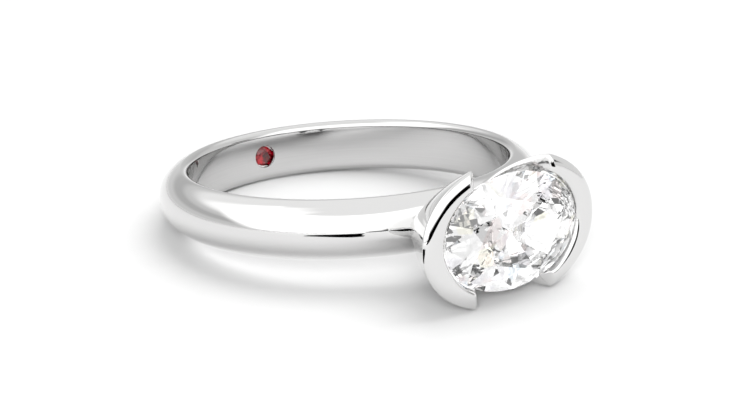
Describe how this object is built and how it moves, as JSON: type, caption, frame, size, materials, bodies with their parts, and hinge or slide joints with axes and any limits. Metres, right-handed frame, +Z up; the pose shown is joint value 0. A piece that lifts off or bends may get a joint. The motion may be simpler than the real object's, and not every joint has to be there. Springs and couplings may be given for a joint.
{
  "type": "oval engagement ring",
  "caption": "Engagement ring: a plain rounded band with an oval brilliant held lengthwise in a half bezel, and a small red stone set flush inside the band.",
  "frame": {"origin": "centre of the outline on the surface that the ring lies on", "axes": "+Z up from that surface; the stone's head points along -Y, away from the back of the band; +X across the ring, along the stone's length. The finger hole leans 4.9 degrees from +Z towards +Y."},
  "size_m": [0.0202, 0.024, 0.0066],
  "materials": {
    "metal": "mirror-polished white precious metal",
    "colourless_stone": "clear, polished facets",
    "red_stone": "clear deep red, polished facets"
  },
  "bodies": {
    "root": {"shank_with_bezel": "metal", "oval_stone": "colourless_stone", "inner_red_stone": "red_stone"}
  },
  "joints": []
}
